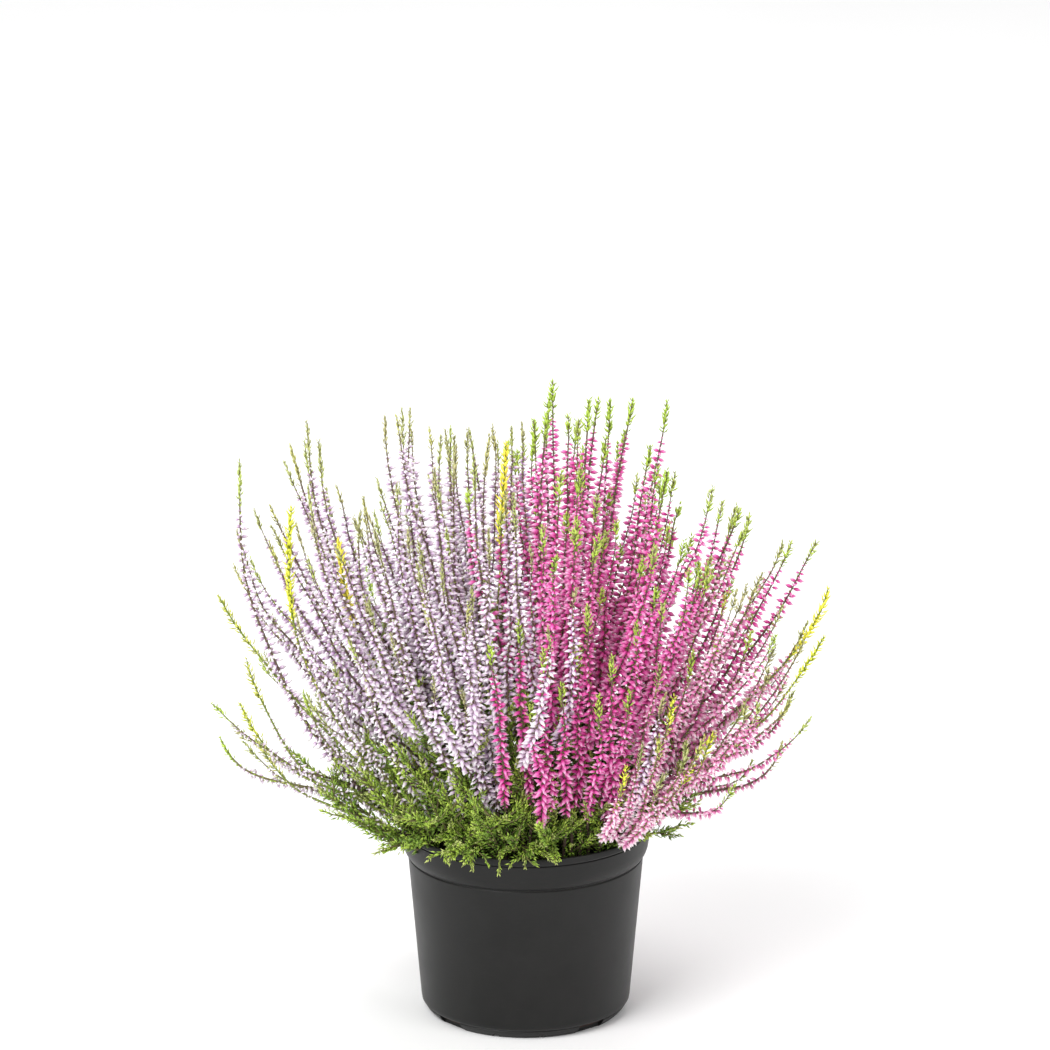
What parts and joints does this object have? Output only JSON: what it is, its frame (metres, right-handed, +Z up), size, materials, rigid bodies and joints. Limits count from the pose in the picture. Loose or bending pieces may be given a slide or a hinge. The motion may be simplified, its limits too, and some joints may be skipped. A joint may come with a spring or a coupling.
{
  "type": "potted heather",
  "caption": "Heather plant with upright bud-covered spikes in lilac, deep pink and rose, over green foliage, in a tapered black nursery pot.",
  "frame": {"origin": "middle of the pot's flat underside", "axes": "+Z up through the pot; the plant's best side, which the picture shows, faces -Y"},
  "size_m": [0.3041, 0.294, 0.3384],
  "materials": {
    "pot_plastic": "black, satin",
    "peat": "moist crumbly peat",
    "foliage": "small matt evergreen leaves",
    "lilac_buds": "papery lilac buds",
    "pink_buds": "papery deep pink buds",
    "rose_buds": "papery rose buds"
  },
  "bodies": {
    "root": {"leafy_spray_01": "foliage", "leafy_spray_02": "foliage", "leafy_spray_03": "foliage", "leafy_spray_04": "foliage", "leafy_spray_05": "foliage", "leafy_spray_06": "foliage", "leafy_spray_07": "foliage", "leafy_spray_08": "foliage", "leafy_spray_09": "foliage", "leafy_spray_10": "foliage", "leafy_spray_11": "foliage", "leafy_spray_12": "foliage", "lilac_spray_01": "lilac_buds", "lilac_spray_02": "lilac_buds", "lilac_spray_03": "lilac_buds", "lilac_spray_04": "lilac_buds", "lilac_spray_05": "lilac_buds", "lilac_spray_06": "lilac_buds", "lilac_spray_07": "lilac_buds", "lilac_spray_08": "lilac_buds", "lilac_spray_09": "lilac_buds", "lilac_spray_10": "lilac_buds", "lilac_spray_11": "lilac_buds", "lilac_spray_12": "lilac_buds", "lilac_spray_13": "lilac_buds", "lilac_spray_14": "lilac_buds", "lilac_spray_15": "lilac_buds", "lilac_spray_16": "lilac_buds", "lilac_spray_17": "lilac_buds", "peat": "peat", "pink_spray_01": "pink_buds", "pink_spray_02": "pink_buds", "pink_spray_03": "pink_buds", "pink_spray_04": "pink_buds", "pink_spray_05": "pink_buds", "pink_spray_06": "pink_buds", "pink_spray_07": "pink_buds", "pink_spray_08": "pink_buds", "pink_spray_09": "pink_buds", "pink_spray_10": "pink_buds", "pot": "pot_plastic", "rose_spray_01": "rose_buds", "rose_spray_02": "rose_buds", "rose_spray_03": "rose_buds", "rose_spray_04": "rose_buds", "rose_spray_05": "rose_buds", "rose_spray_06": "rose_buds"}
  },
  "joints": []
}
